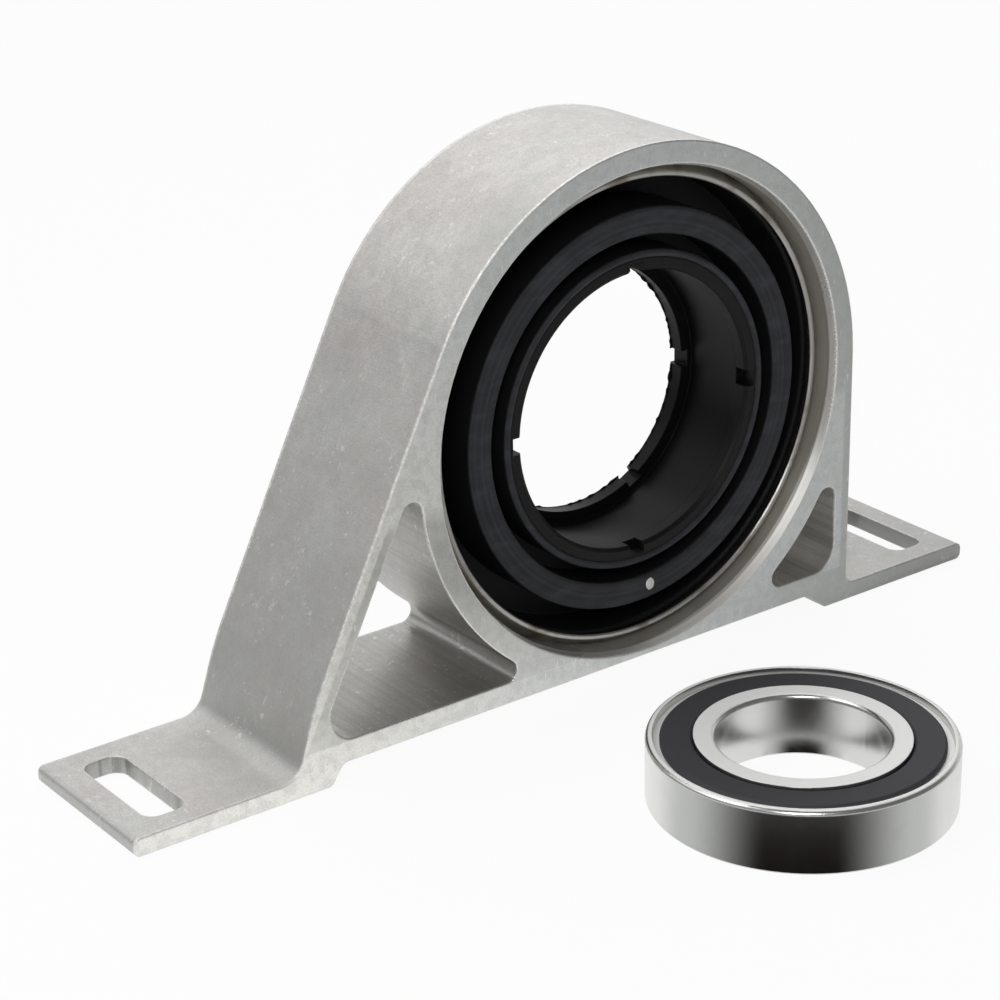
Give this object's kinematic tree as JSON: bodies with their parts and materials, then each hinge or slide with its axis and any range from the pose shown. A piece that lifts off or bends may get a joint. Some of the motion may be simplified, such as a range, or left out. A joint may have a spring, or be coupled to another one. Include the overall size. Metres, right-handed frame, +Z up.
{
  "type": "driveshaft centre bearing",
  "caption": "Extruded alloy bracket with slotted feet, a rubber-sprung carrier ring in its bore for a driveshaft, and the sealed ball bearing of the ring lying beside it.",
  "frame": {"origin": "on the mounting surface, straight below the middle of the bracket's bore", "axes": "+X along the feet towards the upright leg, +Y along the shaft towards the rear lip, +Z up from the mounting surface"},
  "size_m": [0.3248, 0.191, 0.1709],
  "materials": {
    "bracket_alloy": "tumbled extruded alloy with saw-cut faces",
    "sleeve_steel": "bare rolled steel",
    "cushion_rubber": "moulded matt black",
    "carrier_plastic": "moulded black, satin",
    "race_steel": "ground bright steel",
    "seal_rubber": "moulded dark grey",
    "cage_steel": "pressed sheet steel",
    "ball_steel": "polished"
  },
  "bodies": {
    "mounting": {"bracket": "bracket_alloy", "outer_sleeve": "sleeve_steel", "rubber_cushion": "cushion_rubber", "bearing_carrier": "carrier_plastic", "outer_race": "race_steel", "seal_upper": "seal_rubber", "seal_lower": "seal_rubber"},
    "inner_race": {"inner_race": "race_steel"},
    "cage": {"cage_upper": "cage_steel", "cage_lower": "cage_steel", "cage_rivets": "cage_steel"},
    "ball_01": {"ball_01": "ball_steel"},
    "ball_02": {"ball_02": "ball_steel"},
    "ball_03": {"ball_03": "ball_steel"},
    "ball_04": {"ball_04": "ball_steel"},
    "ball_05": {"ball_05": "ball_steel"},
    "ball_06": {"ball_06": "ball_steel"},
    "ball_07": {"ball_07": "ball_steel"},
    "ball_08": {"ball_08": "ball_steel"},
    "ball_09": {"ball_09": "ball_steel"},
    "ball_10": {"ball_10": "ball_steel"}
  },
  "joints": [
    {"name": "inner_race_spin", "type": "hinge", "parent": "mounting", "child": "inner_race", "pos_m": [-0.018, -0.118, 0.01], "axis": [0, 0, 1], "continuous": true},
    {"name": "cage_orbit", "type": "hinge", "parent": "mounting", "child": "cage", "pos_m": [-0.018, -0.118, 0.01], "axis": [0, 0, 1], "continuous": true},
    {"name": "ball_01_roll", "type": "hinge", "parent": "cage", "child": "ball_01", "pos_m": [0.017, -0.118, 0.01], "axis": [0, 0, 1], "continuous": true},
    {"name": "ball_02_roll", "type": "hinge", "parent": "cage", "child": "ball_02", "pos_m": [0.01032, -0.09743, 0.01], "axis": [0, 0, 1], "continuous": true},
    {"name": "ball_03_roll", "type": "hinge", "parent": "cage", "child": "ball_03", "pos_m": [-0.00718, -0.08471, 0.01], "axis": [0, 0, 1], "continuous": true},
    {"name": "ball_04_roll", "type": "hinge", "parent": "cage", "child": "ball_04", "pos_m": [-0.02882, -0.08471, 0.01], "axis": [0, 0, 1], "continuous": true},
    {"name": "ball_05_roll", "type": "hinge", "parent": "cage", "child": "ball_05", "pos_m": [-0.04632, -0.09743, 0.01], "axis": [0, 0, 1], "continuous": true},
    {"name": "ball_06_roll", "type": "hinge", "parent": "cage", "child": "ball_06", "pos_m": [-0.053, -0.118, 0.01], "axis": [0, 0, 1], "continuous": true},
    {"name": "ball_07_roll", "type": "hinge", "parent": "cage", "child": "ball_07", "pos_m": [-0.04632, -0.13857, 0.01], "axis": [0, 0, 1], "continuous": true},
    {"name": "ball_08_roll", "type": "hinge", "parent": "cage", "child": "ball_08", "pos_m": [-0.02882, -0.15129, 0.01], "axis": [0, 0, 1], "continuous": true},
    {"name": "ball_09_roll", "type": "hinge", "parent": "cage", "child": "ball_09", "pos_m": [-0.00718, -0.15129, 0.01], "axis": [0, 0, 1], "continuous": true},
    {"name": "ball_10_roll", "type": "hinge", "parent": "cage", "child": "ball_10", "pos_m": [0.01032, -0.13857, 0.01], "axis": [0, 0, 1], "continuous": true}
  ],
  "couplings": [
    {"joint": "cage_orbit", "follows": "inner_race_spin", "ratio": 0.40929},
    {"joint": "ball_01_roll", "follows": "inner_race_spin", "ratio": -2.6652},
    {"joint": "ball_02_roll", "follows": "inner_race_spin", "ratio": -2.6652},
    {"joint": "ball_03_roll", "follows": "inner_race_spin", "ratio": -2.6652},
    {"joint": "ball_04_roll", "follows": "inner_race_spin", "ratio": -2.6652},
    {"joint": "ball_05_roll", "follows": "inner_race_spin", "ratio": -2.6652},
    {"joint": "ball_06_roll", "follows": "inner_race_spin", "ratio": -2.6652},
    {"joint": "ball_07_roll", "follows": "inner_race_spin", "ratio": -2.6652},
    {"joint": "ball_08_roll", "follows": "inner_race_spin", "ratio": -2.6652},
    {"joint": "ball_09_roll", "follows": "inner_race_spin", "ratio": -2.6652},
    {"joint": "ball_10_roll", "follows": "inner_race_spin", "ratio": -2.6652}
  ]
}
